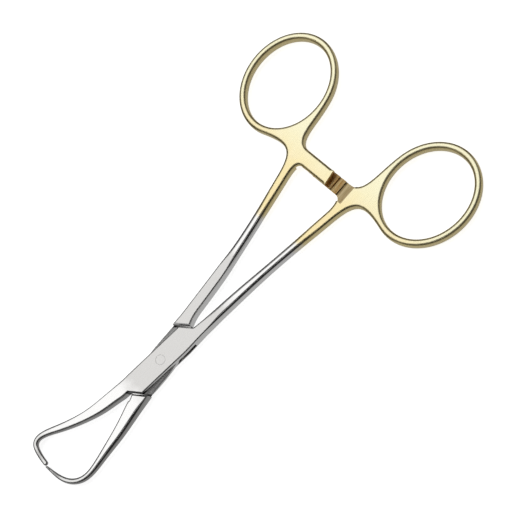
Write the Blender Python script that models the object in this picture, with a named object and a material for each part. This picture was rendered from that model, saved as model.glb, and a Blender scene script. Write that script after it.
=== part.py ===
"""Towel forceps with ring handles, a box joint, curved jaws and a ratchet.

The forceps lies flat on Z = 0, closed, with the joint's axis at X = Y = 0. The finger
rings are towards +X and the jaws towards -X. The male half has its handle at +Y and its
jaw at -Y; it passes through the slot in the box of the female half.

Sizes are in millimetres and become metres when a mesh is made. Plan points of the box
and the jaws are given in the box's own frame, which is turned by BOX_LEAN about the pin.
"""
import math

import bmesh
import bpy
import numpy as np

MM = 0.001

# Box joint
BOX_WIDTH = 6.9
BOX_THICKNESS = 3.5
BOX_LEAN = 6.1
CHEEK_THICKNESS = 1.0
SLOT_GAP = 0.15
SHOULDER_REACH = 9.4
SHOULDER_ANGLE = 40.7
SHOULDER_GAP = 0.3
SHOULDER_BEVEL = 0.5
SHANK_CROTCH = 0.35
JAW_CROTCH = 0.33
WEB_END = 0.25
WAIST_NOTCH = 2.55
WAIST_SLANT = 1.4
WAIST_SIDE = [(5.8, -2.3), (-2.2, -4.3)]
WAIST_RUN_OUT = 2
FLANK_RUN = 2.4
FLANK_DROP = 0.9
FLANK_END_GAP = 0.25

# Hinge pin
PIN_RADIUS = 1.3
PIN_CLEARANCE = 0.05
PIN_SIDES = 32

# Shanks: centre line's offset and half width at even steps from the box to the junction
SHANK_LEAD = 3.4
SHANK_LENGTH = 46.1
FEMALE_SHANK = [(2.8, 1.6), (4.1, 1.53), (5.7, 1.28), (7.55, 1.3), (9.45, 1.45)]
MALE_SHANK = [(2.55, 1.66), (3.4, 1.6), (4.65, 1.4), (6.5, 1.34), (8.6, 1.43)]

# Finger holes: centre's distance past the junction and offset, length, width and turn in degrees
FEMALE_HOLE = (18.8, 25.4, 26.15, 21.55, 6.2)
MALE_HOLE = (18.75, 24.9, 26.3, 21.5, 6.1)
RING_BAR = 2.1
RING_LEAVES_OUTER = 190.0
RING_LEAVES_INNER = -83.0
HANDLE_THICKNESS = 2.9
TAPER_LENGTH = 34.0

# Ratchet arms
ARM_FROM_JUNCTION = 3.8
ARM_WIDTH = 4.5
ARM_PAST_MIDDLE = 2.55
ARM_END_SLANT = 0.7
ARM_ROOT = 9.4
RACK_MARGIN = 1.2
FIRST_STEP = 5.95
TOOTH_PITCH = 2.25
TOOTH_COUNT = 5
TOOTH_DEPTH = 0.55
CREST_GAP = 0.3

# Fillets where the ring, the shank and the arm meet: reach along the first line, along the second
LOW_CROTCH = (3.6, 1.8)
HIGH_CROTCH = (4.7, 7.7)
OUTER_FILLET = (8.3, 7.8)
ARM_LOW_START = 5.8
ARM_HIGH_END = 7.5

# Jaw centre lines in the box's frame: distance past the shoulder, across, half width
FEMALE_JAW = [
    (1.8, 1.3, 2.1), (6.2, 1.8, 1.87), (10.6, 2.3, 1.7), (14.9, 3.15, 1.4), (19.4, 4.6, 1.2),
    (23.7, 6.4, 1.04), (28.0, 8.1, 0.84), (31.1, 7.0, 0.7), (31.7, 1.4, 0.65),
]
MALE_JAW = [
    (-0.8, -2.8, 2.1), (3.7, -4.0, 2.1), (8.0, -5.35, 1.8), (12.4, -6.6, 1.52), (16.8, -7.6, 1.24),
    (21.2, -8.6, 1.0), (26.2, -8.9, 0.84), (30.4, -5.8, 0.7), (32.4, 0.9, 0.25),
]
TIP_THICKNESS = 1.1
TIP_GAP = 0.3
TIP_LAP_LENGTH = 6.0

# Edges and plating
BOX_EDGE = 0.35
SHANK_EDGE = 0.6
JAW_EDGE_SHARE = 0.6
EDGE_RUN = 8.0
FEMALE_EDGE_START = 12.6
MALE_EDGE_START = 27.6
WALL_CROWN = 0.3
PLATING_START = 46.0

MIDDLE = BOX_THICKNESS / 2
WAIST_HALF = MIDDLE - CHEEK_THICKNESS - SLOT_GAP
SHANK_START = SHOULDER_REACH + SHANK_LEAD
JUNCTION = SHANK_START + SHANK_LENGTH


def unit(vectors):
    """Vectors scaled to length one."""
    vectors = np.asarray(vectors, float)
    return vectors / np.linalg.norm(vectors, axis=-1, keepdims=True)


def turned(points, degrees):
    """Plan points turned anticlockwise about the pin."""
    angle = math.radians(degrees)
    spin = np.array([[math.cos(angle), -math.sin(angle)], [math.sin(angle), math.cos(angle)]])
    return np.asarray(points, float) @ spin.T


def leaned(points):
    """Plan points of the box's frame in the frame of the forceps."""
    return turned(points, -BOX_LEAN)


def ease(start, end, share):
    """A value that goes smoothly from start to end as share goes from 0 to 1."""
    share = np.clip(share, 0.0, 1.0)
    return start + (end - start) * share * share * (3 - 2 * share)


def spline(knots, steps):
    """A natural cubic curve through the knots, with the given steps in each span."""
    knots = np.asarray(knots, float)
    count = len(knots)
    matrix = np.eye(count) * 4.0
    matrix[0, 0] = matrix[-1, -1] = 2.0
    matrix += np.eye(count, k=1) + np.eye(count, k=-1)
    rise = np.empty_like(knots)
    rise[0] = 3 * (knots[1] - knots[0])
    rise[-1] = 3 * (knots[-1] - knots[-2])
    rise[1:-1] = 3 * (knots[2:] - knots[:-2])
    slope = np.linalg.solve(matrix, rise)
    t = np.linspace(0, 1, steps, endpoint=False)[None, :, None]
    p, q, a, b = knots[:-1, None], knots[1:, None], slope[:-1, None], slope[1:, None]
    curve = p + a * t + (3 * (q - p) - 2 * a - b) * t**2 + (2 * (p - q) + a + b) * t**3
    return np.vstack([curve.reshape(-1, knots.shape[1]), knots[-1:]])


def blend(start, start_way, end, end_way, start_reach, end_reach, steps):
    """A cubic fillet that leaves start along start_way and arrives at end along end_way."""
    p0, p3 = np.asarray(start, float), np.asarray(end, float)
    p1 = p0 + unit(start_way) * start_reach
    p2 = p3 - unit(end_way) * end_reach
    t = np.linspace(0, 1, steps + 1)[1:-1, None]
    return (1 - t)**3 * p0 + 3 * (1 - t)**2 * t * p1 + 3 * (1 - t) * t**2 * p2 + t**3 * p3


def offset(centre, distance):
    """A line beside a centre line, at a distance to its left."""
    way = unit(np.gradient(centre, axis=0))
    left = np.stack([-way[:, 1], way[:, 0]], axis=1)
    return centre + left * np.asarray(distance, float)[:, None]


def shank_line(shank):
    """Centre line and half width of a shank on the +Y side, from the box to the junction."""
    x = np.linspace(SHANK_START, JUNCTION, len(shank))
    line = spline(np.column_stack([x, shank]), 6)
    return line[:, :2], line[:, 2]


def ring_points(hole, angles, grow):
    """Points of a ring's oval, grown outwards from the finger hole."""
    ahead, aside, length, width, turn = hole
    angles = np.radians(angles)
    oval = np.stack([(length / 2 + grow) * np.cos(angles), (width / 2 + grow) * np.sin(angles)], axis=1)
    return turned(oval, turn) + (JUNCTION + ahead, aside)


def handle_outline(shank, hole):
    """Outside of the handle on the +Y side, anticlockwise from the shank's inner edge."""
    centre, half = shank_line(shank)
    inner = offset(centre, -half)[:-1]
    outer = offset(centre, half)[-2::-1]
    low_x = JUNCTION + ARM_FROM_JUNCTION
    high_x = low_x + ARM_WIDTH
    arm_low = np.array([(low_x, ARM_LOW_START), (low_x, -ARM_PAST_MIDDLE)])
    arm_high = np.array([(high_x, ARM_END_SLANT - ARM_PAST_MIDDLE), (high_x, ARM_HIGH_END)])
    ring = ring_points(hole, np.linspace(RING_LEAVES_INNER, RING_LEAVES_OUTER, 66), RING_BAR)
    low_crotch = blend(inner[-1], inner[-1] - inner[-2], arm_low[0], (0, -1), *LOW_CROTCH, 8)
    high_crotch = blend(arm_high[-1], (0, 1), ring[0], ring[1] - ring[0], *HIGH_CROTCH, 10)
    outer_fillet = blend(ring[-1], ring[-1] - ring[-2], outer[0], outer[1] - outer[0], *OUTER_FILLET, 12)
    return np.vstack([inner, low_crotch, arm_low, arm_high, high_crotch, ring, outer_fillet, outer])


def jaw_line(jaw):
    """Centre line in the box's frame and half width of a jaw, from the box to the tip."""
    past, across, half = spline(jaw, 5).T
    return np.column_stack([-SHOULDER_REACH - past, across]), half


def jaw_edges(jaw):
    """Left edge, tip arc from right to left, and right edge of a jaw, seen from the box."""
    centre, half = jaw_line(jaw)
    way = unit(centre[-1] - centre[-2])
    heading = math.degrees(math.atan2(way[1], way[0]))
    arc = np.radians(np.linspace(heading - 90, heading + 90, 7)[1:-1])
    tip = centre[-1] + half[-1] * np.stack([np.cos(arc), np.sin(arc)], axis=1)
    return offset(centre, half), tip, offset(centre, -half)


def shoulder_point(across, gap=0.0):
    """The point at a distance across the box on the shoulder line, or on a line beside it."""
    angle = math.radians(SHOULDER_ANGLE)
    return ((SHOULDER_REACH + gap - across * math.sin(angle)) / math.cos(angle), across)


def female_outline():
    """Outside of the female half, anticlockwise: its handle is at -Y and its jaw at +Y."""
    handle = handle_outline(FEMALE_SHANK, FEMALE_HOLE)[::-1] * (1, -1)
    inner, tip, outer = jaw_edges(FEMALE_JAW)
    side = BOX_WIDTH / 2
    box_end = shoulder_point(side)[0]
    handle_crotch = shoulder_point(SHANK_CROTCH)
    upper_edge = [(u, side) for u in np.linspace(box_end, -box_end, 9)]
    jaw_crotch = [(-u, -v) for u, v in (shoulder_point(-JAW_CROTCH), shoulder_point(side))]
    lower_edge = [(u, -side) for u in np.linspace(-box_end, 0.7 * box_end, 8)[1:]]
    box = np.vstack([handle_crotch, upper_edge, outer, tip, inner[:1:-1], jaw_crotch, lower_edge])
    return np.vstack([handle[:-1], leaned(box)])


def male_outline():
    """Outside of the male half, anticlockwise: its handle is at +Y and its jaw at -Y."""
    handle = handle_outline(MALE_SHANK, MALE_HOLE)[WAIST_RUN_OUT:]
    outer, tip, inner = jaw_edges(MALE_JAW)
    below = leaned([(SHOULDER_REACH + WAIST_NOTCH, WAIST_SLANT), *WAIST_SIDE])
    jaw = leaned(np.vstack([inner[5:], tip, outer[::-1]]))
    upper_edge = spline(np.vstack([handle[-1:], -below[::-1], jaw[:1]]), 4)[1:-1]
    lower_edge = spline(np.vstack([jaw[-1:], below[::-1], handle[:1]]), 4)[1:-1]
    return np.vstack([handle, upper_edge, jaw, lower_edge])


def sections(points, jaw, lift, edge_start):
    """Plan points with their half thickness, height of the middle and edge radius, in rows.

    A half is as thick as the box from its shank to its jaw. It thins towards the ring and
    towards the jaw's tip, which also rises or sinks by the lift so that the tips can lap.
    The edges grow rounder along the jaw, and along the shank from edge_start on.
    """
    centre, width = jaw_line(jaw)
    place = leaned(centre)
    nearest = np.linalg.norm(points[:, None] - place[None], axis=2).argmin(axis=1)
    along = np.concatenate([[0], np.cumsum(np.linalg.norm(np.diff(place, axis=0), axis=1))])
    in_jaw = points[:, 0] < place[0, 0]
    thin = MIDDLE + (TIP_THICKNESS / 2 - MIDDLE) * along[nearest] / along[-1]
    handle = ease(MIDDLE, HANDLE_THICKNESS / 2, (points[:, 0] - SHANK_START) / TAPER_LENGTH)
    half = np.where(in_jaw, thin, handle)
    rise = np.where(in_jaw, ease(lift, 0, (along[-1] - along[nearest]) / TIP_LAP_LENGTH), 0)
    shank_radius = ease(BOX_EDGE, SHANK_EDGE, (points[:, 0] - edge_start) / EDGE_RUN)
    jaw_radius = JAW_EDGE_SHARE * np.minimum(width[nearest], thin)
    jaw_radius = ease(BOX_EDGE, jaw_radius, along[nearest] / EDGE_RUN)
    radius = np.where(in_jaw, jaw_radius, shank_radius)
    return np.column_stack([points, half, MIDDLE + rise, radius])


def rounded_plate(name, loops):
    """A closed plate from plan loops, with rounded edges and slightly crowned walls.

    Each loop has its material on its left. Its rows give X, Y, half thickness, height of the
    middle and edge radius.
    """
    quarter = np.radians([90.0, 45.0, 0.0])
    mesh = bmesh.new()
    caps = [[], []]
    for loop in loops:
        point, half, middle, radius = loop[:, :2], loop[:, 2], loop[:, 3], loop[:, 4]
        ahead = unit(np.roll(point, -1, axis=0) - point)
        left = np.stack([-ahead[:, 1], ahead[:, 0]], axis=1)
        before = np.roll(left, 1, axis=0)
        inward = (left + before) / np.maximum(1 + (left * before).sum(axis=1), 0.5)[:, None]
        levels = [(-1, q) for q in quarter] + [(0, 0.0)] + [(1, q) for q in quarter[::-1]]
        rows = []
        for side, q in levels:
            height = side * (half - radius * (1 - math.sin(q)))
            inset = radius * (1 - math.cos(q)) + WALL_CROWN * radius * (height / half)**2
            place = point + inward * inset[:, None]
            spots = np.column_stack([place, middle + height]) * MM
            rows.append([mesh.verts.new(spot) for spot in spots.tolist()])
        count = len(point)
        for low, high in zip(rows, rows[1:]):
            for i in range(count):
                j = (i + 1) % count
                mesh.faces.new((low[i], low[j], high[j], high[i]))
        for cap, row in zip(caps, (rows[0], rows[-1])):
            cap += [mesh.edges.get((row[i], row[(i + 1) % count])) for i in range(count)]
    for cap in caps:
        bmesh.ops.triangle_fill(mesh, use_beauty=True, edges=cap, normal=(0, 0, 1))
    bmesh.ops.recalc_face_normals(mesh, faces=mesh.faces)
    return finished(name, mesh)


def prism(name, outlines, levels):
    """A closed prism: plan outlines joined by walls, each at one height or at a height for each corner."""
    mesh = bmesh.new()
    count = len(outlines[0])
    rows = []
    for points, height in zip(outlines, levels):
        spots = np.column_stack([points, np.broadcast_to(height, count)]) * MM
        rows.append([mesh.verts.new(spot) for spot in spots.tolist()])
    for low, high in zip(rows, rows[1:]):
        for i in range(count):
            j = (i + 1) % count
            mesh.faces.new((low[i], low[j], high[j], high[i]))
    mesh.faces.new(rows[0][::-1])
    mesh.faces.new(rows[-1])
    bmesh.ops.recalc_face_normals(mesh, faces=mesh.faces)
    return finished(name, mesh)


def finished(name, mesh):
    """A scene object from a bmesh."""
    data = bpy.data.meshes.new(name)
    mesh.to_mesh(data)
    mesh.free()
    thing = bpy.data.objects.new(name, data)
    bpy.context.scene.collection.objects.link(thing)
    return thing


def cut(body, cutter):
    """Takes the cutter's volume out of a body and keeps the cutter as a hidden guide."""
    step = body.modifiers.new(cutter.name, "BOOLEAN")
    step.operation = "DIFFERENCE"
    step.object = cutter
    cutter.hide_render = True
    cutter.display_type = "WIRE"


def round_plan(radius):
    """A regular polygon round the pin."""
    angles = np.linspace(0, 2 * math.pi, PIN_SIDES, endpoint=False)
    return radius * np.stack([np.cos(angles), np.sin(angles)], axis=1)


def slot_cutter():
    """The slot through the box, open to both sides, between two slanted webs."""
    side = BOX_WIDTH / 2
    inner = shoulder_point(WEB_END)
    outer = (shoulder_point(side)[0] - WEB_END / 2, -side)
    half = [inner, outer, (outer[0], -2 * side), (-inner[0], -2 * side)]
    outline = leaned(half + [(-u, -v) for u, v in half])
    reach = WAIST_HALF + SLOT_GAP
    return prism("slot_guide", [outline, outline], [MIDDLE - reach, MIDDLE + reach])


def waist_cutter(name, way):
    """The step from the male half's full thickness down to its waist, above or below it."""
    reach = SHOULDER_REACH + SHOULDER_GAP
    across = 3 * BOX_WIDTH
    outlines = []
    for grow in (0.0, 0.0, SHOULDER_BEVEL + CREST_GAP):
        length = reach + grow
        corners = [(-length, -across), (length, -across), (length, across), (-length, across)]
        outlines.append(leaned(turned(corners, SHOULDER_ANGLE)))
    heights = [WAIST_HALF, MIDDLE - SHOULDER_BEVEL, MIDDLE + CREST_GAP]
    levels = [MIDDLE + way * height for height in heights]
    return prism(name, outlines, levels)


def flank_cutter(name, side):
    """The slant of the waist's upper face where it stands out of the box: a wedge that opens outwards."""
    near = BOX_WIDTH / 2
    far = near + FLANK_RUN
    shank_end = [shoulder_point(-across, FLANK_END_GAP) for across in (near, far)]
    jaw_end = [(-u, -v) for u, v in (shoulder_point(across, FLANK_END_GAP) for across in (far, near))]
    outline = leaned(np.array(shank_end + jaw_end) * -side)
    low = MIDDLE + WAIST_HALF - np.array([0, FLANK_DROP, FLANK_DROP, 0])
    return prism(name, [outline, outline], [low, MIDDLE + WAIST_HALF + FLANK_DROP])


def tooth_profile():
    """Ratchet teeth of the lower arm as (Y, height over the middle), each falling away from its root."""
    points = []
    crest_y = -ARM_ROOT
    for tooth in range(TOOTH_COUNT):
        step_y = tooth * TOOTH_PITCH - FIRST_STEP
        points.append((crest_y, -CREST_GAP / 2))
        points.append((step_y, -CREST_GAP / 2 - TOOTH_DEPTH))
        crest_y = step_y
    return points


def rack_cutter(name, way):
    """Takes away the upper half of the lower arm (way 1) or the lower half of the upper arm (-1)."""
    far = 2 * ARM_ROOT
    profile = tooth_profile()
    end = (far, profile[-1][1])
    profile = profile + [end, (far, HANDLE_THICKNESS), (-ARM_ROOT, HANDLE_THICKNESS)]
    low_x = JUNCTION + ARM_FROM_JUNCTION - RACK_MARGIN
    high_x = JUNCTION + ARM_FROM_JUNCTION + ARM_WIDTH + RACK_MARGIN
    mesh = bmesh.new()
    rows = []
    for x in (low_x, high_x):
        rows.append([mesh.verts.new((x * MM, way * y * MM, (MIDDLE + way * z) * MM)) for y, z in profile])
    count = len(profile)
    for i in range(count):
        j = (i + 1) % count
        mesh.faces.new((rows[0][i], rows[0][j], rows[1][j], rows[1][i]))
    mesh.faces.new(rows[0][::-1])
    mesh.faces.new(rows[1])
    bmesh.ops.recalc_face_normals(mesh, faces=mesh.faces)
    return finished(name, mesh)


def metal(name, colour, roughness):
    """A metal finish."""
    material = bpy.data.materials.new(name)
    material.use_nodes = True
    shader = material.node_tree.nodes["Principled BSDF"]
    shader.inputs["Base Color"].default_value = (*colour, 1)
    shader.inputs["Metallic"].default_value = 1.0
    shader.inputs["Roughness"].default_value = roughness
    return material


def forged_half(name, outline, hole, jaw, way, finishes):
    """One half of the forceps: its plate with the finger hole, plated from PLATING_START on."""
    hole = ring_points(hole, np.linspace(360, 0, 56, endpoint=False), 0.0)
    if way > 0:
        hole = hole[::-1] * (1, -1)
    lift = way * (TIP_THICKNESS + TIP_GAP) / 2
    edge_start = FEMALE_EDGE_START if way > 0 else MALE_EDGE_START
    half = rounded_plate(name, [sections(loop, jaw, lift, edge_start) for loop in (outline, hole)])
    for finish in finishes:
        half.data.materials.append(finish)
    for face in half.data.polygons:
        face.material_index = int(face.center.x > PLATING_START * MM)
    return half


def build_female_half(finishes):
    """The half with the box, its slot, the jaw at +Y and the lower ratchet arm."""
    half = forged_half("female_half", female_outline(), FEMALE_HOLE, FEMALE_JAW, 1, finishes)
    bore = round_plan(PIN_RADIUS + PIN_CLEARANCE)
    cut(half, slot_cutter())
    cut(half, prism("female_bore_guide", [bore, bore], [-1, BOX_THICKNESS + 1]))
    cut(half, rack_cutter("lower_rack_guide", 1))
    return half


def build_male_half(finishes):
    """The half with the waist, the jaw at -Y and the upper ratchet arm."""
    half = forged_half("male_half", male_outline(), MALE_HOLE, MALE_JAW, -1, finishes)
    bore = round_plan(PIN_RADIUS + PIN_CLEARANCE)
    cut(half, waist_cutter("upper_waist_guide", 1))
    cut(half, waist_cutter("lower_waist_guide", -1))
    cut(half, flank_cutter("shank_flank_guide", 1))
    cut(half, flank_cutter("jaw_flank_guide", -1))
    cut(half, prism("male_bore_guide", [bore, bore], [-1, BOX_THICKNESS + 1]))
    cut(half, rack_cutter("upper_rack_guide", -1))
    return half


def build_hinge_pin(finish):
    """The rivet, ground flush with both cheeks."""
    plan = round_plan(PIN_RADIUS)
    pin = prism("hinge_pin", [plan, plan], [0, BOX_THICKNESS])
    pin.data.materials.append(finish)
    return pin


def main():
    for thing in list(bpy.data.objects):
        bpy.data.objects.remove(thing, do_unlink=True)
    steel = metal("satin_steel", (0.72, 0.71, 0.69), 0.28)
    gold = metal("gold_plate", (0.90, 0.80, 0.52), 0.18)
    for half in (build_female_half([steel, gold]), build_male_half([steel, gold])):
        half.data.shade_smooth()
        half.data.set_sharp_from_angle(angle=math.radians(30))
    build_hinge_pin(steel)


main()
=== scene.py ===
"""Looks of the towel forceps: satin and polished steel with gold-plated ring handles.

The two forged halves are surfaces worked out from their plan outlines at a fine step, in
the frame and at the sizes of the solid model. Lengths below are in millimetres and angles in
degrees. The pin is at the origin, the handles run towards +X and the jaws towards -X.
"""

import math

import bmesh
import bpy
import numpy as np
from mathutils import Matrix, Vector
from mathutils.geometry import delaunay_2d_cdt

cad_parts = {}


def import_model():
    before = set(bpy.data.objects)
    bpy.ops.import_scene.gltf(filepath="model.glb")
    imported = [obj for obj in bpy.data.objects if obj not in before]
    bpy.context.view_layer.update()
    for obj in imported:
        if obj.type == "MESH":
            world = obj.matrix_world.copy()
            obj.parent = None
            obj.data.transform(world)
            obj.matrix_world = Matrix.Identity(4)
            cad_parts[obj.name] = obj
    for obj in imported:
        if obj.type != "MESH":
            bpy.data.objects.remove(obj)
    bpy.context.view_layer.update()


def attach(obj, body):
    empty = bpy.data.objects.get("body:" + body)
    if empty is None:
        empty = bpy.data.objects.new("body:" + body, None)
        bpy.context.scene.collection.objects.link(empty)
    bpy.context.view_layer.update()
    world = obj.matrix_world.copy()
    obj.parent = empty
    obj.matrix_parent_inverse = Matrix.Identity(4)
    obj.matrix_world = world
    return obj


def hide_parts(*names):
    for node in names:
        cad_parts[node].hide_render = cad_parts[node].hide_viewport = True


MM = 0.001

# Box joint
BOX_WIDTH = 6.9
BOX_THICKNESS = 3.5
BOX_LEAN = 6.1
CHEEK_THICKNESS = 1.0
SLOT_GAP = 0.15
SHOULDER_REACH = 9.4
SHOULDER_ANGLE = 40.7
SHOULDER_GAP = 0.3
SHOULDER_BEVEL = 0.5
BEVEL_OVERSHOOT = 0.3
LOWER_EDGE_SHARE = 0.7
SHANK_CROTCH = 0.35
JAW_CROTCH = -0.35
WEB_END = 0.25
WAIST_NOTCH = 2.55
WAIST_SLANT = 1.4
WAIST_SIDE = [(5.8, -2.3), (-2.2, -4.3)]
WAIST_RUN_OUT = 2
FLANK_RUN = 2.4
FLANK_DROP = 0.9
FLANK_END_GAP = 0.25

# Hinge pin
PIN_RADIUS = 1.3
PIN_CLEARANCE = 0.05
PIN_SIDES = 128
BORE_OVERSHOOT = 1.0

# Shanks: centre line's offset and half width at even steps from the box to the junction
SHANK_LEAD = 3.4
SHANK_LENGTH = 46.1
FEMALE_SHANK = [(2.8, 1.6), (4.1, 1.53), (5.7, 1.28), (7.55, 1.3), (9.45, 1.45)]
MALE_SHANK = [(2.55, 1.66), (3.4, 1.6), (4.65, 1.4), (6.5, 1.34), (8.6, 1.43)]

# Finger holes: centre's distance past the junction and offset, length, width and turn in degrees
FEMALE_HOLE = (18.8, 25.4, 26.15, 21.55, 6.2)
MALE_HOLE = (18.75, 24.9, 26.3, 21.5, 6.1)
RING_BAR = 2.1
RING_LEAVES_OUTER = 190.0
RING_LEAVES_INNER = -83.0
HANDLE_THICKNESS = 2.9
TAPER_LENGTH = 34.0

# Ratchet arms
ARM_FROM_JUNCTION = 3.8
ARM_WIDTH = 4.5
ARM_PAST_MIDDLE = 2.55
ARM_END_SLANT = 0.7
ARM_ROOT = 9.4
RACK_MARGIN = 1.2
FIRST_STEP = 5.95
TOOTH_PITCH = 2.25
TOOTH_COUNT = 5
TOOTH_DEPTH = 0.55
CREST_GAP = 0.3

# Fillets where the ring, the shank and the arm meet: reach along the first line, along the second
LOW_CROTCH = (3.6, 1.8)
HIGH_CROTCH = (4.7, 7.7)
OUTER_FILLET = (8.3, 7.8)
ARM_LOW_START = 5.8
ARM_HIGH_END = 7.5

# Jaw centre lines in the box's frame: distance past the shoulder, across, half width
FEMALE_JAW = [
    (1.8, 1.3, 2.1), (6.2, 1.8, 1.87), (10.6, 2.3, 1.7), (14.9, 3.15, 1.4), (19.4, 4.6, 1.2),
    (23.7, 6.4, 1.04), (28.0, 8.1, 0.84), (31.1, 7.0, 0.7), (31.7, 1.4, 0.65),
]
MALE_JAW = [
    (-0.8, -2.8, 2.1), (3.7, -4.0, 2.1), (8.0, -5.35, 1.8), (12.4, -6.6, 1.52), (16.8, -7.6, 1.24),
    (21.2, -8.6, 1.0), (26.2, -8.9, 0.84), (30.4, -5.8, 0.7), (32.4, 0.9, 0.25),
]
TIP_THICKNESS = 1.1
TIP_GAP = 0.3
TIP_LAP_LENGTH = 6.0

# Edge radii of the box, the shanks, the handles and the jaws, and where along X or a jaw they change
BOX_EDGE = 0.42
SHANK_EDGE = 0.85
HANDLE_EDGE = 0.65
JAW_EDGE_SHARE = 0.86
JAW_EDGE_LEAD = 6.0
JAW_EDGE_START = 12.0
JAW_EDGE_RUN = 24.0
FEMALE_JAW_EDGES = (0.55, 0.35)
MALE_JAW_EDGES = (0.95, 0.45)
ARM_END_EDGE = 0.12
ARM_END_RUN = 0.8
EDGE_RUN = 8.0
FEMALE_EDGE_START = 12.6
MALE_EDGE_START = 27.6
WALL_CROWN = 0.3
FACE_MARGIN = 0.05
SHARP_ANGLE = 28

# Steps of the plan's curves, which are those of the solid model, and how much finer each is cut here
FINE = 4
SHANK_STEPS = 6
RING_STEPS = 65
HOLE_STEPS = 56
LOW_CROTCH_STEPS = 8
HIGH_CROTCH_STEPS = 10
FILLET_STEPS = 12
JAW_STEPS = 5
TIP_STEPS = 6
JAW_INNER_START = 3
BOX_STEPS = 8
BOX_LOWER_STEPS = 7
WAIST_STEPS = 4

# Rounding of the rims and filling of the faces
CORNER_STEPS = 8
SHARPEST_MITRE = 0.5
SAME_POINT = 1e-7

# Finishes, with painted light on the rings and painted shade on the tips, each by the two places between
# which
# it comes in: along X on the shanks and the rings, towards the tips on the jaws, and along Y between the two
# halves
PLATING_START = 46.0
PLATING_FADE = 1.8
PAINTED_RING_LIGHT = (58.0, 72.0)
HALVES_FADE = (-1.0, 1.0)
FEMALE_POLISH = (19.0, 26.0)
MALE_POLISH = (31.5, 35.5)
JAW_POLISH = (8.0, 14.0)
JAW_DARK = (4.0, 9.0)
TIP_SHADE = (33.0, 39.0)

# Levels, from 0 on an upright wall to 1 on a flat face, between which each finish comes in
STEEL_FACE = (0.6, 0.9)
GOLD_FACE = (0.9, 0.99)
FLAT_FACE = (0.95, 0.995)
SLANTED_FACE = (0.88, 0.92)
WALL_END = (0.2, 0.4)

# Painted shade in the grooves at the shoulders, and cut faces of the ratchet
MASK_FADE = 0.1
GROOVE_MARGIN = 0.3
GROOVE_HALF_LENGTH = (8.5, 9.0)
RAMP_DEPTH = (0.075, 0.135)
CUT_MARGIN = 0.3

# Noise: its scale to the metre, how much it is drawn out along X, and the levels that are used of it
CLOUD_SCALE = 320.0
CLOUD_DRIFT = 6.0
STREAK_ROUGHNESS = 0.6
SPECKLE_SCALE = 6000.0
GRAIN_SCALE = 8000.0
GRAIN_STRETCH = 0.05
SCORE_SCALE = 1800.0
SCORE_STRETCH = 0.06
SCORE_COLOUR = (0.38, 0.62)
SCORE_ROUGHNESS = (0.35, 0.65)

# Colours, in pairs where noise mixes them
POLISHED_WALL = ((0.84, 0.835, 0.825, 1), (0.92, 0.915, 0.905, 1))
JAW_WALL = ((0.40, 0.395, 0.385, 1), (0.50, 0.495, 0.485, 1))
SATIN_STEEL = ((0.61, 0.60, 0.585, 1), (0.73, 0.72, 0.705, 1))
POLISHED_STEEL = ((0.82, 0.815, 0.805, 1), (0.86, 0.855, 0.845, 1))
# Painted shade on the jaw tips
TIP_SHADE_STEEL = (0.68, 0.675, 0.66, 1)
LOWER_TIP_STEEL = (0.26, 0.255, 0.25, 1)
# Painted shade: near black on the walls of the grooves at the shoulders
GROOVE_SHADE_STEEL = (0.06, 0.06, 0.06, 1)
WARM_GOLD = ((0.99, 0.87, 0.46, 1), (0.99, 0.80, 0.48, 1))
# Painted light: paler gold towards the rings
PAINTED_LIGHT_GOLD = (1.0, 0.95, 0.66, 1)
EDGE_GOLD = (0.92, 0.77, 0.40, 1)
RAMP_GOLD = ((0.76, 0.45, 0.15, 1), (0.98, 0.76, 0.38, 1))
ROOT_GOLD = ((0.60, 0.45, 0.22, 1), (0.88, 0.72, 0.42, 1))
WHITE = (1, 1, 1, 1)

# Roughness, metallic values and bump
POLISHED_ROUGHNESS = 0.14
SATIN_ROUGHNESS = 0.24
GOLD_ROUGHNESS = 0.24
BRUSHED_ROUGHNESS = (0.28, 0.60)
RAMP_ROUGHNESS = 0.44
GRAIN_ROUGHNESS = 0.06
WARM_METALLIC = 0.97
PAINTED_LIGHT_METALLIC = 0.8
GOLD_FACE_METALLIC = 0.88
SPECKLE_STRENGTH = 0.12
SPECKLE_HEIGHT = 0.02

# Camera: it looks at the aim from a compass direction about +Z, and is turned about its own axis
CAMERA_AIM = (36.93, -0.53, 1.3)
CAMERA_DISTANCE = 394.8
CAMERA_COMPASS = -90.44
CAMERA_ELEVATION = 68.0
CAMERA_ROLL = -48.65
CAMERA_LENS = 105.47
CAMERA_SENSOR = 36.0
CAMERA_NEAR = 10.0
CAMERA_FAR = 10000.0
CAMERA_SHIFT = (-0.00098, 0.00098)

# Studio light by the direction it comes from: the Y and Z parts of a unit vector at which each part fades
BRIGHT_SIDE = (0.0, 0.24)
DOME_HEIGHT = (0.70, 0.86)
DOME_LIGHT = 1.2
BAND_HEIGHT = (0.54, 0.60)
BAND_LIGHT = 0.45
WALL_LIGHT = 0.02
CLOTH_HEIGHT = (0.5, 0.1)
CLOTH_LIGHT = 0.015
PANEL_HEIGHT = (-0.15, -0.55)
PANEL_LIGHT = 0.44
FLOOR_REACH = 3000.0
FLOOR_DROP = 0.1
FLOOR_GLOW = 0.85

MIDDLE = BOX_THICKNESS / 2
WAIST_HALF = MIDDLE - CHEEK_THICKNESS - SLOT_GAP
SHANK_START = SHOULDER_REACH + SHANK_LEAD
JUNCTION = SHANK_START + SHANK_LENGTH


def unit(vectors):
    """Vectors divided by their lengths."""
    vectors = np.asarray(vectors, float)
    return vectors / np.linalg.norm(vectors, axis=-1, keepdims=True)


def turned(points, degrees):
    """Plan points turned anticlockwise about the pin: x cos a - y sin a, x sin a + y cos a."""
    angle = math.radians(degrees)
    spin = np.array([[math.cos(angle), -math.sin(angle)], [math.sin(angle), math.cos(angle)]])
    return np.asarray(points, float) @ spin.T


def leaned(points):
    """Plan points of the box's frame in the frame of the forceps."""
    return turned(points, -BOX_LEAN)


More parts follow.
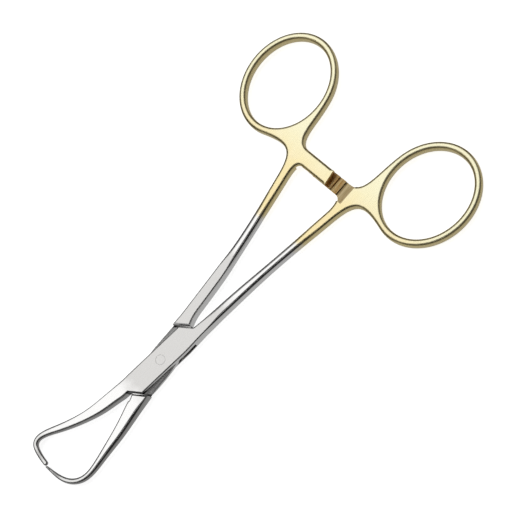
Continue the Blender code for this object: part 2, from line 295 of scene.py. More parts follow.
def ease(start, end, share):
    """Start plus the rise times s squared times (3 - 2 s), where s is the share held to 0..1."""
    share = np.clip(share, 0.0, 1.0)
    return start + (end - start) * share * share * (3 - 2 * share)


def spline(knots, steps):
    """A natural cubic through the knots: cubic Hermite spans whose slopes solve the usual banded system."""
    knots = np.asarray(knots, float)
    count = len(knots)
    matrix = np.eye(count) * 4.0
    matrix[0, 0] = matrix[-1, -1] = 2.0
    matrix += np.eye(count, k=1) + np.eye(count, k=-1)
    rise = np.empty_like(knots)
    rise[0] = 3 * (knots[1] - knots[0])
    rise[-1] = 3 * (knots[-1] - knots[-2])
    rise[1:-1] = 3 * (knots[2:] - knots[:-2])
    slope = np.linalg.solve(matrix, rise)
    t = np.linspace(0, 1, steps, endpoint=False)[None, :, None]
    p, q, a, b = knots[:-1, None], knots[1:, None], slope[:-1, None], slope[1:, None]
    curve = p + a * t + (3 * (q - p) - 2 * a - b) * t**2 + (2 * (p - q) + a + b) * t**3
    return np.vstack([curve.reshape(-1, knots.shape[1]), knots[-1:]])


def blend(start, start_way, end, end_way, start_reach, end_reach, steps):
    """A cubic Bezier fillet that leaves start along start_way and arrives at end along end_way."""
    p0, p3 = np.asarray(start, float), np.asarray(end, float)
    p1 = p0 + unit(start_way) * start_reach
    p2 = p3 - unit(end_way) * end_reach
    t = np.linspace(0, 1, steps + 1)[1:-1, None]
    return (1 - t)**3 * p0 + 3 * (1 - t)**2 * t * p1 + 3 * (1 - t) * t**2 * p2 + t**3 * p3


def offset(centre, distance):
    """A centre line moved to its left by a distance, along the normal of its own direction."""
    way = unit(np.gradient(centre, axis=0))
    left = np.stack([-way[:, 1], way[:, 0]], axis=1)
    return centre + left * np.asarray(distance, float)[:, None]


def shank_line(shank):
    """Centre line and half width of a shank on the +Y side, from the box to the junction.

    A natural cubic runs through the shank's offsets and half widths, at even steps along X.
    """
    x = np.linspace(SHANK_START, JUNCTION, len(shank))
    line = spline(np.column_stack([x, shank]), SHANK_STEPS * FINE)
    return line[:, :2], line[:, 2]


def ring_points(hole, angles, grow):
    """Points of a ring's oval, grown outwards from the finger hole and turned about its centre.

    They are half its length times the cosine and half its width times the sine of each angle.
    """
    ahead, aside, length, width, turn = hole
    angles = np.radians(angles)
    oval = np.stack([(length / 2 + grow) * np.cos(angles), (width / 2 + grow) * np.sin(angles)], axis=1)
    return turned(oval, turn) + (JUNCTION + ahead, aside)


def handle_outline(shank, hole):
    """Outside of the handle on the +Y side, anticlockwise from the shank's inner edge."""
    centre, half = shank_line(shank)
    inner = offset(centre, -half)[:-FINE]
    outer = offset(centre, half)[-1 - FINE::-1]
    low_x = JUNCTION + ARM_FROM_JUNCTION
    high_x = low_x + ARM_WIDTH
    high_end = ARM_END_SLANT - ARM_PAST_MIDDLE
    arm_low = np.array([
        (low_x, ARM_LOW_START), (low_x, ARM_END_RUN - ARM_PAST_MIDDLE), (low_x, -ARM_PAST_MIDDLE),
    ])
    arm_high = np.array([(high_x, high_end), (high_x, high_end + ARM_END_RUN), (high_x, ARM_HIGH_END)])
    ring_angles = np.linspace(RING_LEAVES_INNER, RING_LEAVES_OUTER, RING_STEPS * FINE + 1)
    ring = ring_points(hole, ring_angles, RING_BAR)
    low_crotch = blend(
        inner[-1], inner[-1] - inner[-2], arm_low[0], (0, -1), *LOW_CROTCH, LOW_CROTCH_STEPS * FINE,
    )
    high_crotch = blend(
        arm_high[-1], (0, 1), ring[0], ring[1] - ring[0], *HIGH_CROTCH, HIGH_CROTCH_STEPS * FINE,
    )
    outer_fillet = blend(
        ring[-1], ring[-1] - ring[-2], outer[0], outer[1] - outer[0], *OUTER_FILLET, FILLET_STEPS * FINE,
    )
    return np.vstack([inner, low_crotch, arm_low, arm_high, high_crotch, ring, outer_fillet, outer])


def jaw_line(jaw):
    """Centre line in the box's frame and half width of a jaw, as a natural cubic from the box to the tip."""
    past, across, half = spline(jaw, JAW_STEPS * FINE).T
    return np.column_stack([-SHOULDER_REACH - past, across]), half


def jaw_edges(jaw):
    """Left edge, tip arc from right to left, and right edge of a jaw, seen from the box."""
    centre, half = jaw_line(jaw)
    way = unit(centre[-1] - centre[-2])
    heading = math.degrees(math.atan2(way[1], way[0]))
    arc = np.radians(np.linspace(heading - 90, heading + 90, TIP_STEPS * FINE + 1)[1:-1])
    tip = centre[-1] + half[-1] * np.stack([np.cos(arc), np.sin(arc)], axis=1)
    return offset(centre, half), tip, offset(centre, -half)


def shoulder_point(across, gap=0.0):
    """The point at a distance across the box on the shoulder line, or on a line a gap beside it.

    Along the box it lies at (reach + gap - across sin a) / cos a, where a is the shoulder's angle.
    """
    angle = math.radians(SHOULDER_ANGLE)
    return ((SHOULDER_REACH + gap - across * math.sin(angle)) / math.cos(angle), across)


def female_outline():
    """Outside of the female half, anticlockwise: its handle is at -Y and its jaw at +Y."""
    handle = handle_outline(FEMALE_SHANK, FEMALE_HOLE)[::-1] * (1, -1)
    inner, tip, outer = jaw_edges(FEMALE_JAW)
    side = BOX_WIDTH / 2
    box_end = shoulder_point(side)[0]
    handle_crotch = shoulder_point(SHANK_CROTCH)
    upper_edge = [(u, side) for u in np.linspace(box_end, -box_end, BOX_STEPS * FINE + 1)]
    jaw_crotch = [(-u, -v) for u, v in (shoulder_point(-JAW_CROTCH), shoulder_point(side))]
    lower_ends = (-box_end, LOWER_EDGE_SHARE * box_end)
    lower_edge = [(u, -side) for u in np.linspace(*lower_ends, BOX_LOWER_STEPS * FINE + 1)[1:]]
    inner = inner[:JAW_INNER_START * FINE - 1:-1]
    box = np.vstack([handle_crotch, upper_edge, outer, tip, inner, jaw_crotch, lower_edge])
    return np.vstack([handle[:-FINE], leaned(box)])


def male_outline():
    """Outside of the male half, anticlockwise: its handle is at +Y and its jaw at -Y."""
    handle = handle_outline(MALE_SHANK, MALE_HOLE)[WAIST_RUN_OUT * FINE:]
    outer, tip, inner = jaw_edges(MALE_JAW)
    below = leaned([(SHOULDER_REACH + WAIST_NOTCH, WAIST_SLANT), *WAIST_SIDE])
    jaw = leaned(np.vstack([inner[JAW_STEPS * FINE:], tip, outer[::-1]]))
    upper_edge = spline(np.vstack([handle[-1:], -below[::-1], jaw[:1]]), WAIST_STEPS * FINE)[1:-1]
    lower_edge = spline(np.vstack([jaw[-1:], below[::-1], handle[:1]]), WAIST_STEPS * FINE)[1:-1]
    return np.vstack([handle, upper_edge, jaw, lower_edge])


def sections(points, jaw, jaw_edges_at_box, lift, edge_start):
    """Plan points with their half thickness, height of the middle, edge radius and crown, in rows.

    A half is as thick as the box from its shank to its jaw. It thins towards the ring and
    towards the jaw's tip, which also rises or sinks by the lift so that the tips can lap.
    The edges grow rounder along the jaw, from a radius of its own on its left and on its
    right, and along the shank from edge_start on. They are finer past the plating line, and the
    end of the ratchet arm is nearly sharp. The crown of the wall is a share of the edge radius,
    which goes to nothing along the jaw.
    """
    centre, width = jaw_line(jaw)
    place = leaned(centre)
    left = leaned(offset(centre, np.ones(len(centre)))) - place
    nearest = np.linalg.norm(points[:, None] - place[None], axis=2).argmin(axis=1)
    along = np.concatenate([[0], np.cumsum(np.linalg.norm(np.diff(place, axis=0), axis=1))])
    in_jaw = points[:, 0] < place[0, 0]
    thin = MIDDLE + (TIP_THICKNESS / 2 - MIDDLE) * along[nearest] / along[-1]
    handle = ease(MIDDLE, HANDLE_THICKNESS / 2, (points[:, 0] - SHANK_START) / TAPER_LENGTH)
    half = np.where(in_jaw, thin, handle)
    rise = np.where(in_jaw, ease(lift, 0, (along[-1] - along[nearest]) / TIP_LAP_LENGTH), 0)
    shank_radius = ease(BOX_EDGE, SHANK_EDGE, (points[:, 0] - edge_start) / EDGE_RUN)
    shank_radius = ease(shank_radius, HANDLE_EDGE, (points[:, 0] - PLATING_START) / EDGE_RUN)
    aside = ((points - place[nearest]) * left[nearest]).sum(axis=1)
    at_box = ease(BOX_EDGE, np.where(aside > 0, *jaw_edges_at_box), along[nearest] / JAW_EDGE_LEAD)
    at_tip = JAW_EDGE_SHARE * np.minimum(width[nearest] - 1.5 * FACE_MARGIN, thin)
    jaw_radius = ease(at_box, at_tip, (along[nearest] - JAW_EDGE_START) / JAW_EDGE_RUN)
    radius = np.where(in_jaw, jaw_radius, shank_radius)
    from_middle = np.abs(points[:, 1])
    at_arm_end = (points[:, 0] > JUNCTION) & (from_middle < ARM_PAST_MIDDLE + FACE_MARGIN)
    at_arm_end &= from_middle > ARM_PAST_MIDDLE - ARM_END_RUN + FACE_MARGIN
    radius = np.where(at_arm_end, ARM_END_EDGE, radius)
    crown = WALL_CROWN * radius * np.where(in_jaw, 1 - along[nearest] / along[-1], 1)
    return np.column_stack([points, half, MIDDLE + rise, radius, crown])


def plate_levels():
    """Section of a plate's rim as (side, corner angle, wall share, face margin) rows, bottom to top.

    The corner is a quarter circle, the wall between the corners bows out as a parabola, and the
    last row on each face lies a margin further in, so that the flat face keeps its own normal.
    """
    corner = [(q, 1.0, 0.0) for q in np.radians(np.linspace(90, 0, CORNER_STEPS + 1))]
    wall = [(0.0, share, 0.0) for share in (0.75, 0.5, 0.25)]
    upper = [(math.pi / 2, 1.0, FACE_MARGIN)] + corner + wall
    low = [(-1, *row) for row in upper]
    high = [(1, *row) for row in upper[::-1]]
    return np.array(low + [(0, 0.0, 0.0, 0.0)] + high)


def rounded_plate(name, loops):
    """A closed plate between plan loops, with rounded edges and slightly crowned walls.

    At corner angle q the height is the half thickness less r (1 - sin q) and the inset is
    r (1 - cos q), plus the crown, which grows with the square of the height. Each point moves in
    along the mitre of its two edges: the sum of their normals over 1 plus their dot product.
    """
    side, corner, share, margin = plate_levels().T[:, :, None]
    points, quads, rims, first = [], [], [], 0
    for loop in loops:
        point = loop[:, :2]
        half, middle, radius, crown = loop[:, 2:].T
        ahead = unit(np.roll(point, -1, axis=0) - point)
        left = np.stack([-ahead[:, 1], ahead[:, 0]], axis=1)
        before = np.roll(left, 1, axis=0)
        mitre = np.maximum(1 + (left * before).sum(axis=1), SHARPEST_MITRE)
        inward = (left + before) / mitre[:, None]
        height = side * np.where(share < 1, share * (half - radius), half - radius * (1 - np.sin(corner)))
        inset = radius * (1 - np.cos(corner)) + crown * (height / half)**2 + margin
        place = point[None] + inward[None] * inset[:, :, None]
        points.append(np.concatenate([place, (middle + height)[:, :, None]], axis=2).reshape(-1, 3))
        rows, count = height.shape
        index = first + np.arange(rows * count).reshape(rows, count)
        beside = np.roll(index, -1, axis=1)
        quads.append(np.stack([index[:-1], beside[:-1], beside[1:], index[1:]], axis=2).reshape(-1, 4))
        rims.append(index)
        first += rows * count
    points = np.vstack(points)
    faces = np.vstack(quads).tolist()
    for level, turned_over in ((0, True), (-1, False)):
        order = np.concatenate([rim[level] for rim in rims])
        caps = filled(points[order, :2], [len(rim[level]) for rim in rims])
        faces += order[caps[:, ::-1] if turned_over else caps].tolist()
    return surface(name, points, faces)


def filled(plan, counts):
    """Anticlockwise triangles between an outer loop and its holes, as indices into the plan points.

    A constrained Delaunay net of the loops, less the triangles whose middle has an even
    number of loop edges to its right, which lie outside or in a hole.
    """
    starts = np.cumsum([0, *counts[:-1]])
    edges = [(a + i, a + (i + 1) % n) for a, n in zip(starts, counts) for i in range(n)]
    edges = np.array(edges)
    net = delaunay_2d_cdt([Vector(p) for p in plan], edges.tolist(), [], 0, SAME_POINT)
    triangles = np.array(net[2])
    middle = plan[triangles].mean(axis=1)
    a, b = plan[edges[:, 0]], plan[edges[:, 1]]
    crosses = (a[None, :, 1] > middle[:, None, 1]) != (b[None, :, 1] > middle[:, None, 1])
    slope = (b[:, 0] - a[:, 0]) / np.where(a[:, 1] == b[:, 1], 1.0, b[:, 1] - a[:, 1])
    at = a[None, :, 0] + slope[None] * (middle[:, None, 1] - a[None, :, 1])
    inside = (crosses & (at > middle[:, None, 0])).sum(axis=1) % 2 == 1
    triangles = triangles[inside]
    p, q, r = plan[triangles[:, 0]], plan[triangles[:, 1]], plan[triangles[:, 2]]
    area = (q - p)[:, 0] * (r - p)[:, 1] - (q - p)[:, 1] * (r - p)[:, 0]
    return np.where((area > 0)[:, None], triangles, triangles[:, ::-1])


def surface(name, points, faces):
    """A scene object from points in millimetres and faces, with its faces turned outwards."""
    mesh = bpy.data.meshes.new(name)
    mesh.from_pydata((np.asarray(points) * MM).tolist(), [], faces)
    net = bmesh.new()
    net.from_mesh(mesh)
    bmesh.ops.recalc_face_normals(net, faces=net.faces)
    net.to_mesh(mesh)
    net.free()
    thing = bpy.data.objects.new(name, mesh)
    bpy.context.scene.collection.objects.link(thing)
    return thing


def prism(name, outlines, levels):
    """A closed prism: plan outlines joined by walls, each at one height or at a height for each corner."""
    count = len(outlines[0])
    points = np.vstack([np.column_stack([o, np.broadcast_to(z, count)]) for o, z in zip(outlines, levels)])
    index = np.arange(len(points)).reshape(-1, count)
    beside = np.roll(index, -1, axis=1)
    walls = np.stack([index[:-1], beside[:-1], beside[1:], index[1:]], axis=2).reshape(-1, 4)
    return surface(name, points, walls.tolist() + [index[0][::-1].tolist(), index[-1].tolist()])


def carved(body, cutters):
    """A body less its cutters: the cuts are applied to the mesh and the cutters are removed."""
    for cutter in cutters:
        step = body.modifiers.new(cutter.name, "BOOLEAN")
        step.operation = "DIFFERENCE"
        step.object = cutter
    graph = bpy.context.evaluated_depsgraph_get()
    mesh = bpy.data.meshes.new_from_object(body.evaluated_get(graph))
    body.modifiers.clear()
    body.data = mesh
    for cutter in cutters:
        bpy.data.objects.remove(cutter, do_unlink=True)
    return body


def round_plan(radius):
    """A circle round the pin: the radius times the cosine and the sine of even angles."""
    angles = np.linspace(0, 2 * math.pi, PIN_SIDES, endpoint=False)
    return radius * np.stack([np.cos(angles), np.sin(angles)], axis=1)


def slot_cutter():
    """The slot through the box, open to both sides, between two slanted webs."""
    side = BOX_WIDTH / 2
    inner = shoulder_point(WEB_END)
    outer = (shoulder_point(side)[0] - WEB_END / 2, -side)
    half = [inner, outer, (outer[0], -2 * side), (-inner[0], -2 * side)]
    outline = leaned(half + [(-u, -v) for u, v in half])[::-1]
    reach = WAIST_HALF + SLOT_GAP
    return prism("slot", [outline, outline], [MIDDLE - reach, MIDDLE + reach])


def waist_cutter(name, way):
    """The step from the male half's full thickness down to its waist, above or below it."""
    reach = SHOULDER_REACH + SHOULDER_GAP
    across = 3 * BOX_WIDTH
    outlines = []
    for grow in (0.0, 0.0, SHOULDER_BEVEL + BEVEL_OVERSHOOT):
        length = reach + grow
        corners = [(-length, -across), (length, -across), (length, across), (-length, across)]
        outlines.append(leaned(turned(corners, SHOULDER_ANGLE)))
    heights = [WAIST_HALF, MIDDLE - SHOULDER_BEVEL, MIDDLE + BEVEL_OVERSHOOT]
    levels = [MIDDLE + way * height for height in heights]
    if way < 0:
        outlines, levels = outlines[::-1], levels[::-1]
    return prism(name, outlines, levels)


def flank_cutter(name, side):
    """The slant of the waist's flank where it stands out of the box: a wedge that opens outwards."""
    near = BOX_WIDTH / 2
    far = near + FLANK_RUN
    shank_end = [shoulder_point(-across, FLANK_END_GAP) for across in (near, far)]
    jaw_end = [(-u, -v) for u, v in (shoulder_point(across, FLANK_END_GAP) for across in (far, near))]
    outline = leaned(np.array(shank_end + jaw_end) * -side)
    low = MIDDLE + WAIST_HALF - np.array([0, FLANK_DROP, FLANK_DROP, 0])
    return prism(name, [outline, outline], [low, MIDDLE + WAIST_HALF + FLANK_DROP])


def tooth_profile():
    """Ratchet teeth of the lower arm as (Y, height over the middle), each falling away from its root."""
    points = []
    crest_y = -ARM_ROOT
    for tooth in range(TOOTH_COUNT):
        step_y = tooth * TOOTH_PITCH - FIRST_STEP
        points.append((crest_y, -CREST_GAP / 2))
        points.append((step_y, -CREST_GAP / 2 - TOOTH_DEPTH))
        crest_y = step_y
    return points


def rack_cutter(name, way):
    """Takes away the upper half of the lower arm (way 1) or the lower half of the upper arm (-1)."""
    far = 2 * ARM_ROOT
    profile = tooth_profile()
    profile += [(far, profile[-1][1]), (far, HANDLE_THICKNESS), (-ARM_ROOT, HANDLE_THICKNESS)]
    low_x = JUNCTION + ARM_FROM_JUNCTION - RACK_MARGIN
    high_x = JUNCTION + ARM_FROM_JUNCTION + ARM_WIDTH + RACK_MARGIN
    ends = [[(x, way * y, MIDDLE + way * z) for y, z in profile] for x in (low_x, high_x)]
    count = len(profile)
    index = np.arange(2 * count).reshape(2, count)
    beside = np.roll(index, -1, axis=1)
    walls = np.stack([index[0], index[1], beside[1], beside[0]], axis=1).tolist()
    return surface(name, np.vstack(ends), walls + [index[0].tolist(), index[1][::-1].tolist()])


def forged_half(name, outline, hole, jaw, way):
    """One half of the forceps before its joint and rack are cut: its plate with the finger hole.

    The way is 1 for the female half, whose handle is at -Y, and -1 for the male half.
    """
    hole = ring_points(hole, np.linspace(360, 0, HOLE_STEPS * FINE, endpoint=False), 0.0)
    edges, edge_start = MALE_JAW_EDGES, MALE_EDGE_START
    if way > 0:
        hole = hole[::-1] * (1, -1)
        edges, edge_start = FEMALE_JAW_EDGES, FEMALE_EDGE_START
    lift = way * (TIP_THICKNESS + TIP_GAP) / 2
    return rounded_plate(name, [sections(loop, jaw, edges, lift, edge_start) for loop in (outline, hole)])


def softened(piece):
    """Smooth shading, with hard edges where faces meet at more than the sharp angle."""
    piece.data.shade_smooth()
    piece.data.set_sharp_from_angle(angle=math.radians(SHARP_ANGLE))


def bore_cutter(name):
    """The pin's hole with its clearance, through the whole thickness."""
    bore = round_plan(PIN_RADIUS + PIN_CLEARANCE)
    return prism(name, [bore, bore], [-BORE_OVERSHOOT, BOX_THICKNESS + BORE_OVERSHOOT])


def make_female():
    """The half with the box, its slot, the jaw at +Y and the lower ratchet arm."""
    half = forged_half("female_forging", female_outline(), FEMALE_HOLE, FEMALE_JAW, 1)
    return carved(half, [
        slot_cutter(),
        bore_cutter("female_bore"),
        rack_cutter("lower_rack", 1),
    ])


def make_male():
    """The half with the waist, the jaw at -Y and the upper ratchet arm."""
    half = forged_half("male_forging", male_outline(), MALE_HOLE, MALE_JAW, -1)
    return carved(half, [
        waist_cutter("upper_waist", 1),
        waist_cutter("lower_waist", -1),
        flank_cutter("shank_flank", 1),
        flank_cutter("jaw_flank", -1),
        bore_cutter("male_bore"),
        rack_cutter("upper_rack", -1),
    ])


def make_pin():
    """The rivet, ground flush with both cheeks."""
    plan = round_plan(PIN_RADIUS)
    return prism("rivet", [plan, plan], [0, BOX_THICKNESS])


def add_node(tree, kind, feeds=(), **settings):
    """A shader node with its settings; feeds pairs an input with a value or with an output."""
    made = tree.nodes.new(kind)
    for key, value in settings.items():
        setattr(made, key, value)
    for socket, value in feeds:
        if isinstance(value, bpy.types.NodeSocket):
            tree.links.new(value, made.inputs[socket])
        else:
            made.inputs[socket].default_value = value
    return made


def maths(tree, operation, first, second=0.0):
    """The result of a Math node on two values or outputs."""
    return add_node(tree, "ShaderNodeMath", [(0, first), (1, second)], operation=operation).outputs[0]


def product(tree, first, second):
    """One number times another."""
    return maths(tree, "MULTIPLY", first, second)


def opposite(tree, share):
    """1 less a share."""
    return maths(tree, "SUBTRACT", 1.0, share)


def mixed(tree, share, first, second):
    """A colour between two colours."""
    made = add_node(tree, "ShaderNodeMix", [(0, share), (6, first), (7, second)], data_type="RGBA")
    return made.outputs[2]


def grey(level):
    """A colour with three equal parts."""
    return (level, level, level, 1)


def between(tree, value, low, high):
    """0 below low, 1 above high and a smooth step between them."""
    return add_node(tree, "ShaderNodeMapRange", [(0, value), (1, low), (2, high), (3, 0.0), (4, 1.0)],
                    interpolation_type="SMOOTHSTEP").outputs[0]


def steps(tree, value, ends):
    """0 before the first of two places in millimetres, 1 past the second and a smooth step between them."""
    return between(tree, value, ends[0] * MM, ends[1] * MM)


def graded(tree, share, start, end, low=0.0, high=1.0):
    """A number that runs straight from start to end as a share runs from low to high."""
    feeds = [(0, share), (1, low), (2, high), (3, start), (4, end)]
    return add_node(tree, "ShaderNodeMapRange", feeds).outputs[0]


def noise(tree, place, scale, detail=3.0, roughness=0.5):
    """Noise from 0 to 1, of so many features to the metre."""
    feeds = [("Vector", place), ("Scale", scale), ("Detail", detail), ("Roughness", roughness)]
    return add_node(tree, "ShaderNodeTexNoise", feeds).outputs["Fac"]


def streaks(tree, place, scale, stretch):
    """Noise drawn out along X: stretch is the scale along X over the scale across it."""
    drawn = add_node(tree, "ShaderNodeMapping", [("Vector", place), ("Scale", (stretch, 1.0, 1.0))])
    return noise(tree, drawn.outputs[0], scale, roughness=STREAK_ROUGHNESS)


def polish_mask(tree, spot, along):
    """1 past the satin of the box: along each shank from a place of its own on, and along the jaws."""
    upper = steps(tree, spot["Y"], HALVES_FADE)
    shanks = graded(tree, upper, steps(tree, along, FEMALE_POLISH), steps(tree, along, MALE_POLISH))
    return maths(tree, "MAXIMUM", shanks, steps(tree, product(tree, along, -1.0), JAW_POLISH))


def groove_shade_mask(tree, spot):
    """1 where shade is painted in the grooves at the two shoulders, by the distances from the pin across and
    along them.

    These are x cos a + y sin a and y cos a - x sin a, where a is the shoulder's angle less the box's lean.
    """
    angle = math.radians(SHOULDER_ANGLE - BOX_LEAN)
    across = maths(tree, "ADD", product(tree, spot["X"], math.cos(angle)),
                   product(tree, spot["Y"], math.sin(angle)))
    aside = maths(tree, "SUBTRACT", product(tree, spot["Y"], math.cos(angle)),
                  product(tree, spot["X"], math.sin(angle)))
    across = maths(tree, "ABSOLUTE", across)
    aside = maths(tree, "ABSOLUTE", aside)
    start = SHOULDER_REACH - GROOVE_MARGIN
    end = SHOULDER_REACH + SHOULDER_GAP
    near = steps(tree, across, (start, start + MASK_FADE))
    past = maths(tree, "MAXIMUM", steps(tree, across, (end, end + MASK_FADE)),
                 steps(tree, aside, GROOVE_HALF_LENGTH))
    return product(tree, near, opposite(tree, past))


def ratchet_mask(tree, spot, upward):
    """1 on the cut faces of both ratchet arms: the ramps and the arms' upright ends.

    A ramp looks towards the mid-plane of the forceps and lies a little way off it. An end is upright
    and lies between the arm's two sides, which stay plated.
    """
    depth = product(tree, maths(tree, "SUBTRACT", MIDDLE * MM, spot["Z"]), upward)
    centre = JUNCTION + ARM_FROM_JUNCTION + ARM_WIDTH / 2
    aside = maths(tree, "ABSOLUTE", maths(tree, "SUBTRACT", spot["X"], centre * MM))
    rack_side = ARM_WIDTH / 2 + RACK_MARGIN
    arm_side = ARM_WIDTH / 2 - CUT_MARGIN
    ramp = product(tree, steps(tree, depth, RAMP_DEPTH),
                   opposite(tree, steps(tree, aside, (rack_side, rack_side + MASK_FADE))))
    upright = opposite(tree, between(tree, maths(tree, "ABSOLUTE", upward), *WALL_END))
    within = opposite(tree, steps(tree, aside, (arm_side, arm_side + MASK_FADE)))
    from_middle = maths(tree, "ABSOLUTE", spot["Y"])
    before_root = opposite(tree, steps(tree, from_middle, (ARM_ROOT, ARM_ROOT + MASK_FADE)))
    arm_end = product(tree, upright, product(tree, within, before_root))
    return maths(tree, "MAXIMUM", ramp, arm_end)


def steel_colour(tree, spot, along, level, satin, grain, speckle):
    """Bare steel: satin or polished faces over polished walls, darker on the jaws' walls, with painted shade
    on the tips.

    Each pair of colours is mixed by noise, and the pairs by smooth steps along the jaws and in the
    level. The tip that laps under the other one lies below the mid-plane, in its shade.
    """
    jawward = product(tree, along, -1.0)
    wall = mixed(tree, steps(tree, jawward, JAW_DARK),
                 mixed(tree, grain, *POLISHED_WALL), mixed(tree, grain, *JAW_WALL))
    # Painted shade towards the jaw tips
    tip = steps(tree, jawward, TIP_SHADE)
    lower_tip = product(tree, tip, maths(tree, "LESS_THAN", spot["Z"], MIDDLE * MM))
    polished = mixed(tree, tip, mixed(tree, grain, *POLISHED_STEEL), TIP_SHADE_STEEL)
    polished = mixed(tree, lower_tip, polished, LOWER_TIP_STEEL)
    face = mixed(tree, satin, polished, mixed(tree, speckle, *SATIN_STEEL))
    return mixed(tree, between(tree, level, *STEEL_FACE), wall, face)


def gold_plate(tree, along, level, cloud):
    """Colour and metallic value of the gold plate, which is deeper on edges; painted light pales it towards
    the rings.
    """
    # Painted light: the gold pales and grows less metallic towards the rings
    painted_light = steps(tree, along, PAINTED_RING_LIGHT)
    face = between(tree, level, *GOLD_FACE)
    colour = mixed(tree, painted_light, mixed(tree, cloud, *WARM_GOLD), PAINTED_LIGHT_GOLD)
    colour = mixed(tree, face, EDGE_GOLD, colour)
    metallic = graded(tree, face, graded(tree, painted_light, WARM_METALLIC, PAINTED_LIGHT_METALLIC), GOLD_FACE_METALLIC)
    return colour, metallic


def ratchet_colour(tree, spot, score):
    """Gold scored by the cutter on the ramps, and duller on the ramp that starts at each arm's root."""
    line = between(tree, score, *SCORE_COLOUR)
    from_middle = maths(tree, "ABSOLUTE", spot["Y"])
    at_root = steps(tree, from_middle, (FIRST_STEP - MASK_FADE, FIRST_STEP))
    return mixed(tree, at_root, mixed(tree, line, *RAMP_GOLD), mixed(tree, line, *ROOT_GOLD))


def make_steel(name):
    """Satin steel at the box, polished steel along the shanks and gold plate from the plating line on.

    A share from 0 to 1 says how far each finish, painted shade or painted light holds at a spot. The colour,
    the roughness and the metallic value are worked out by mixing in one after another by its share.
    """
    material = bpy.data.materials.new(name)
    material.use_nodes = True
    tree = material.node_tree
    shader = tree.nodes["Principled BSDF"]
    place = add_node(tree, "ShaderNodeTexCoord").outputs["Object"]
    spot = add_node(tree, "ShaderNodeSeparateXYZ", [(0, place)]).outputs
    normal = add_node(tree, "ShaderNodeNewGeometry").outputs["Normal"]
    upward = add_node(tree, "ShaderNodeSeparateXYZ", [(0, normal)]).outputs["Z"]
    level = maths(tree, "ABSOLUTE", upward)
    cloud = noise(tree, place, CLOUD_SCALE)
    speckle = noise(tree, place, SPECKLE_SCALE, detail=2.0)
    grain = streaks(tree, place, GRAIN_SCALE, GRAIN_STRETCH)
    score = streaks(tree, place, SCORE_SCALE, SCORE_STRETCH)
    drift = product(tree, maths(tree, "SUBTRACT", cloud, 0.5), CLOUD_DRIFT * MM)
    along = maths(tree, "ADD", spot["X"], drift)

    flat = between(tree, level, *FLAT_FACE)
    beside_flat = opposite(tree, flat)
    satin = product(tree, flat, opposite(tree, polish_mask(tree, spot, along)))
    slanted = product(tree, between(tree, level, *SLANTED_FACE), beside_flat)
    groove_shade = product(tree, groove_shade_mask(tree, spot), beside_flat)
    gold = steps(tree, along, (PLATING_START - PLATING_FADE, PLATING_START + PLATING_FADE))
    cut = ratchet_mask(tree, spot, upward)

    steel = steel_colour(tree, spot, along, level, satin, grain, speckle)
    # Painted shade in the grooves at the shoulders, on their walls
    steel = mixed(tree, groove_shade, steel, GROOVE_SHADE_STEEL)
    plate, plate_metallic = gold_plate(tree, along, level, cloud)
    colour = mixed(tree, cut, mixed(tree, gold, steel, plate), ratchet_colour(tree, spot, score))
    rough = graded(tree, satin, POLISHED_ROUGHNESS, SATIN_ROUGHNESS)
    rough = graded(tree, gold, rough, GOLD_ROUGHNESS)
    rough = graded(tree, slanted, rough, graded(tree, score, *BRUSHED_ROUGHNESS, *SCORE_ROUGHNESS))
    rough = graded(tree, cut, rough, RAMP_ROUGHNESS)
    rough = maths(tree, "ADD", rough, product(tree, grain, GRAIN_ROUGHNESS))
    bump = add_node(tree, "ShaderNodeBump", [
        ("Height", speckle), ("Strength", SPECKLE_STRENGTH), ("Distance", SPECKLE_HEIGHT * MM),
    ])
    tree.links.new(colour, shader.inputs["Base Color"])
    tree.links.new(rough, shader.inputs["Roughness"])
    tree.links.new(graded(tree, gold, 1.0, plate_metallic), shader.inputs["Metallic"])
    tree.links.new(bump.outputs[0], shader.inputs["Normal"])
    return material


def make_floor():
    """A plain white floor just under the forceps, which keeps their shadow.

    It glows for the camera alone. The metal doesn't mirror it, and shows the studio's lit panel there.
    """
    reach = FLOOR_REACH * MM
    mesh = bpy.data.meshes.new("floor")
    mesh.from_pydata([(-reach, -reach, 0), (reach, -reach, 0), (reach, reach, 0), (-reach, reach, 0)],
                     [], [(0, 1, 2, 3)])
    floor = bpy.data.objects.new("floor", mesh)
    bpy.context.scene.collection.objects.link(floor)
    floor.location.z = -FLOOR_DROP * MM
    material = bpy.data.materials.new("pale_floor")
    material.use_nodes = True
    tree = material.node_tree
    shader = tree.nodes["Principled BSDF"]
    shader.inputs["Base Color"].default_value = WHITE
    shader.inputs["Roughness"].default_value = 1.0
    shader.inputs["Specular IOR Level"].default_value = 0.0
    shader.inputs["Emission Color"].default_value = WHITE
    seen = add_node(tree, "ShaderNodeLightPath").outputs["Is Camera Ray"]
    tree.links.new(product(tree, seen, FLOOR_GLOW), shader.inputs["Emission Strength"])
    floor.data.materials.append(material)
    floor.visible_glossy = False


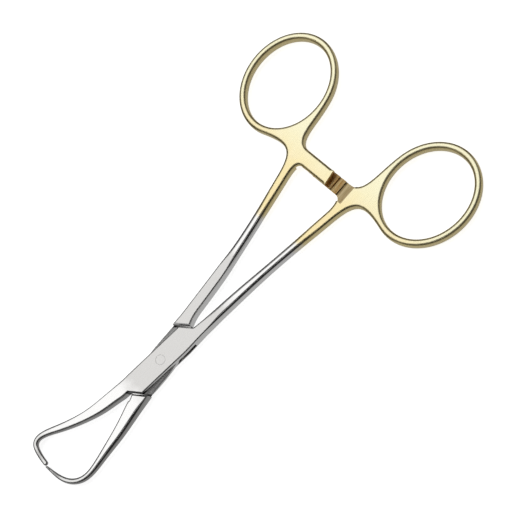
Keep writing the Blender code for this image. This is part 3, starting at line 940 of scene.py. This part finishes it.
def make_world():
    """A studio by the direction of its light, and plain white for the camera itself.

    On the +Y side a dark wall carries a weak band and, over it, a bright dome. On the -Y side a near
    black cloth hangs over a grey panel, which also closes the studio below. A smooth step in the
    direction's Y or Z part mixes each over what is before it.
    """
    world = bpy.data.worlds.new("studio")
    bpy.context.scene.world = world
    world.use_nodes = True
    tree = world.node_tree
    background = tree.nodes["Background"]
    way = add_node(tree, "ShaderNodeTexCoord").outputs["Generated"]
    parts = add_node(tree, "ShaderNodeSeparateXYZ", [(0, way)]).outputs
    bright_side = between(tree, parts["Y"], *BRIGHT_SIDE)
    below_cloth = between(tree, parts["Z"], *CLOTH_HEIGHT)
    band = product(tree, between(tree, parts["Z"], *BAND_HEIGHT), bright_side)
    dome = product(tree, between(tree, parts["Z"], *DOME_HEIGHT), bright_side)
    panel = between(tree, parts["Z"], *PANEL_HEIGHT)
    light = mixed(tree, below_cloth, grey(CLOTH_LIGHT), grey(PANEL_LIGHT))
    light = mixed(tree, bright_side, light, grey(WALL_LIGHT))
    light = mixed(tree, band, light, grey(BAND_LIGHT))
    light = mixed(tree, dome, light, grey(DOME_LIGHT))
    light = mixed(tree, panel, light, grey(PANEL_LIGHT))
    seen = add_node(tree, "ShaderNodeLightPath").outputs["Is Camera Ray"]
    tree.links.new(mixed(tree, seen, light, WHITE), background.inputs["Color"])


def make_camera():
    """The camera of the photograph, set by its aim, distance, compass direction, elevation and roll."""
    camera = bpy.data.objects.new("camera", bpy.data.cameras.new("camera"))
    bpy.context.scene.collection.objects.link(camera)
    compass, climb = math.radians(CAMERA_COMPASS), math.radians(CAMERA_ELEVATION)
    level_part = math.cos(climb)
    back = Vector((math.cos(compass) * level_part, math.sin(compass) * level_part, math.sin(climb)))
    aim = Vector(CAMERA_AIM) * MM
    turn = back.to_track_quat("Z", "Y").to_matrix() @ Matrix.Rotation(math.radians(CAMERA_ROLL), 3, "Z")
    camera.matrix_world = Matrix.Translation(aim + back * CAMERA_DISTANCE * MM) @ turn.to_4x4()
    camera.data.lens = CAMERA_LENS
    camera.data.sensor_width = CAMERA_SENSOR
    camera.data.shift_x, camera.data.shift_y = CAMERA_SHIFT
    camera.data.clip_start = CAMERA_NEAR * MM
    camera.data.clip_end = CAMERA_FAR * MM
    bpy.context.scene.camera = camera


def main():
    """Builds the pieces around the frame, their finishes, the stage and the camera."""
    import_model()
    steel = make_steel("forged_steel")
    female, male, pin = make_female(), make_male(), make_pin()
    for piece, node, body in (
        (female, "female_half", "female_body"),
        (male, "male_half", "male_body"),
        (pin, "hinge_pin", "female_body"),
    ):
        piece.data.materials.clear()
        piece.data.materials.append(steel)
        softened(piece)
        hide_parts(node)
        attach(piece, body)
    make_floor()
    make_world()
    make_camera()
    bpy.context.scene.view_settings.view_transform = "Standard"


main()
